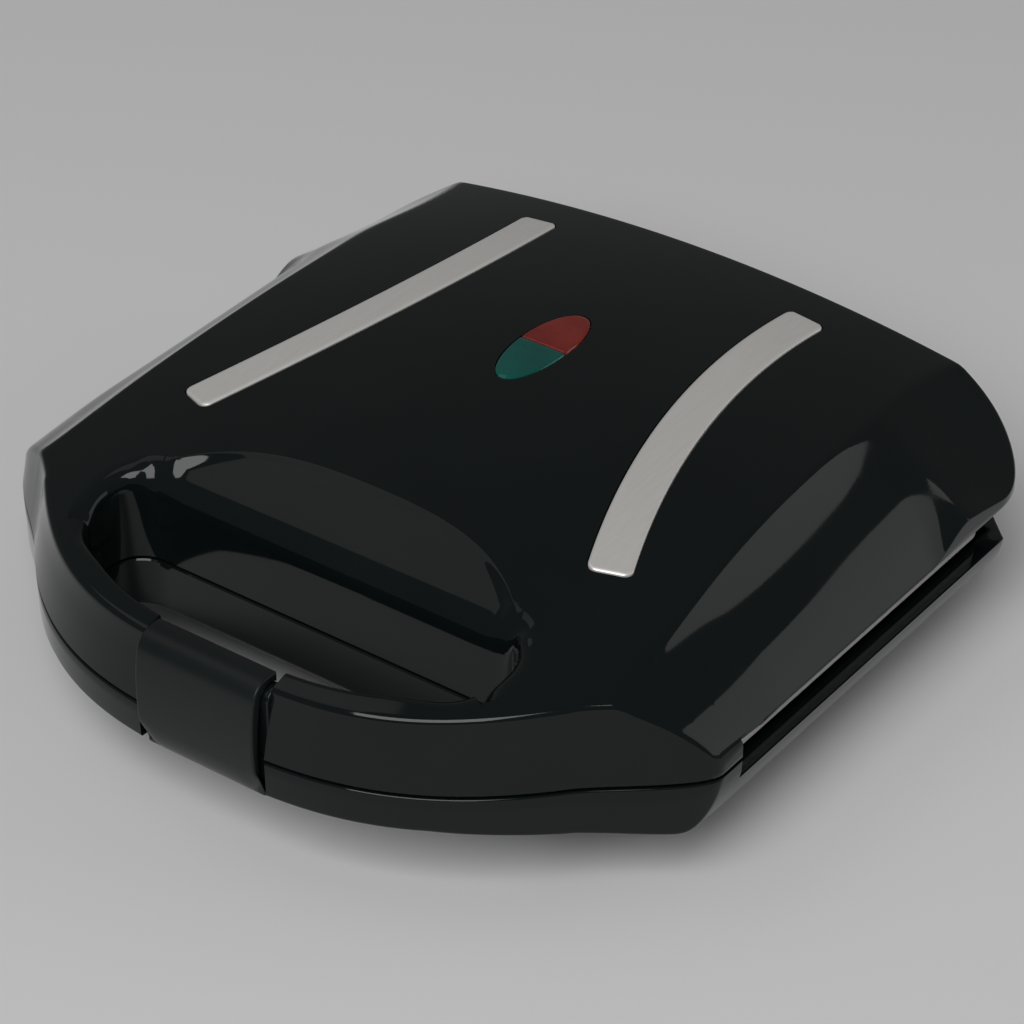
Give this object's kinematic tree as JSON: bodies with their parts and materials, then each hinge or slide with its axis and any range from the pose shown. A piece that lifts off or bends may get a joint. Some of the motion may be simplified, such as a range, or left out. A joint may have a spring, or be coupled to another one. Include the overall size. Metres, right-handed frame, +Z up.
{
  "type": "sandwich toaster",
  "caption": "Closed countertop sandwich toaster with a domed hinged lid, ridged triangle plates, a finger opening in the handle and a swinging latch clip.",
  "frame": {"origin": "centre of the footprint box at the bottom of the feet", "axes": "+Z up from the worktop, +Y from the handle to the hinge, +X to the right seen from the handle"},
  "size_m": [0.235, 0.242, 0.0786],
  "materials": {
    "body_plastic": "high gloss black moulding",
    "clip_plastic": "satin black moulding",
    "foot_rubber": "matt",
    "gland_plastic": "matt",
    "sleeve_rubber": "matt",
    "wire_insulation": "matt",
    "plate_coating": "non-stick coating, satin",
    "reflector_metal": "bright sheet",
    "strip_metal": "satin",
    "insulator": "cream ceramic or heat-proof plastic",
    "lens_red": "translucent",
    "lens_green": "translucent",
    "lamp_glass": "clear",
    "heater_tube": "dull",
    "steel": "zinc plated"
  },
  "bodies": {
    "base": {"base_shell": "body_plastic", "feet": "foot_rubber", "cord_gland": "gland_plastic", "cord_clamp": "gland_plastic", "cord_clamp_screws": "steel", "terminal_block": "insulator", "terminal_screws": "steel", "lower_cooking_plate": "plate_coating", "lower_plate_screws": "steel", "lower_heater": "heater_tube", "lower_heater_clamps": "steel", "lower_clamp_screws": "steel", "lower_reflector": "reflector_metal", "lower_reflector_screws": "steel", "thermal_fuse": "insulator", "fuse_clip": "steel", "base_wiring": "wire_insulation", "base_lead_sleeve": "sleeve_rubber", "hinge_pins": "steel"},
    "lid": {"lid_shell": "body_plastic", "trim_strip_left": "strip_metal", "trim_strip_right": "strip_metal", "strip_push_nuts": "steel", "lens_red": "lens_red", "lens_green": "lens_green", "lamp_red": "lamp_glass", "lamp_green": "lamp_glass", "lamp_holder": "insulator", "lamp_screws": "steel", "upper_cooking_plate": "plate_coating", "upper_plate_screws": "steel", "upper_heater": "heater_tube", "upper_heater_clamps": "steel", "upper_clamp_screws": "steel", "upper_reflector": "reflector_metal", "upper_reflector_screws": "steel", "thermostat": "insulator", "thermostat_bracket": "steel", "thermostat_screws": "steel", "lid_wiring": "wire_insulation", "lid_lead_sleeve": "sleeve_rubber", "latch_pin": "steel"},
    "latch": {"latch_clip": "clip_plastic"}
  },
  "joints": [
    {"name": "lid_hinge", "type": "hinge", "parent": "base", "child": "lid", "pos_m": [0, 0.1155, 0.036], "axis": [-1, 0, 0], "range_deg": [0, 105]},
    {"name": "latch_hinge", "type": "hinge", "parent": "lid", "child": "latch", "pos_m": [0, -0.1125, 0.0525], "axis": [-1, 0, 0], "range_deg": [0, 60]}
  ]
}
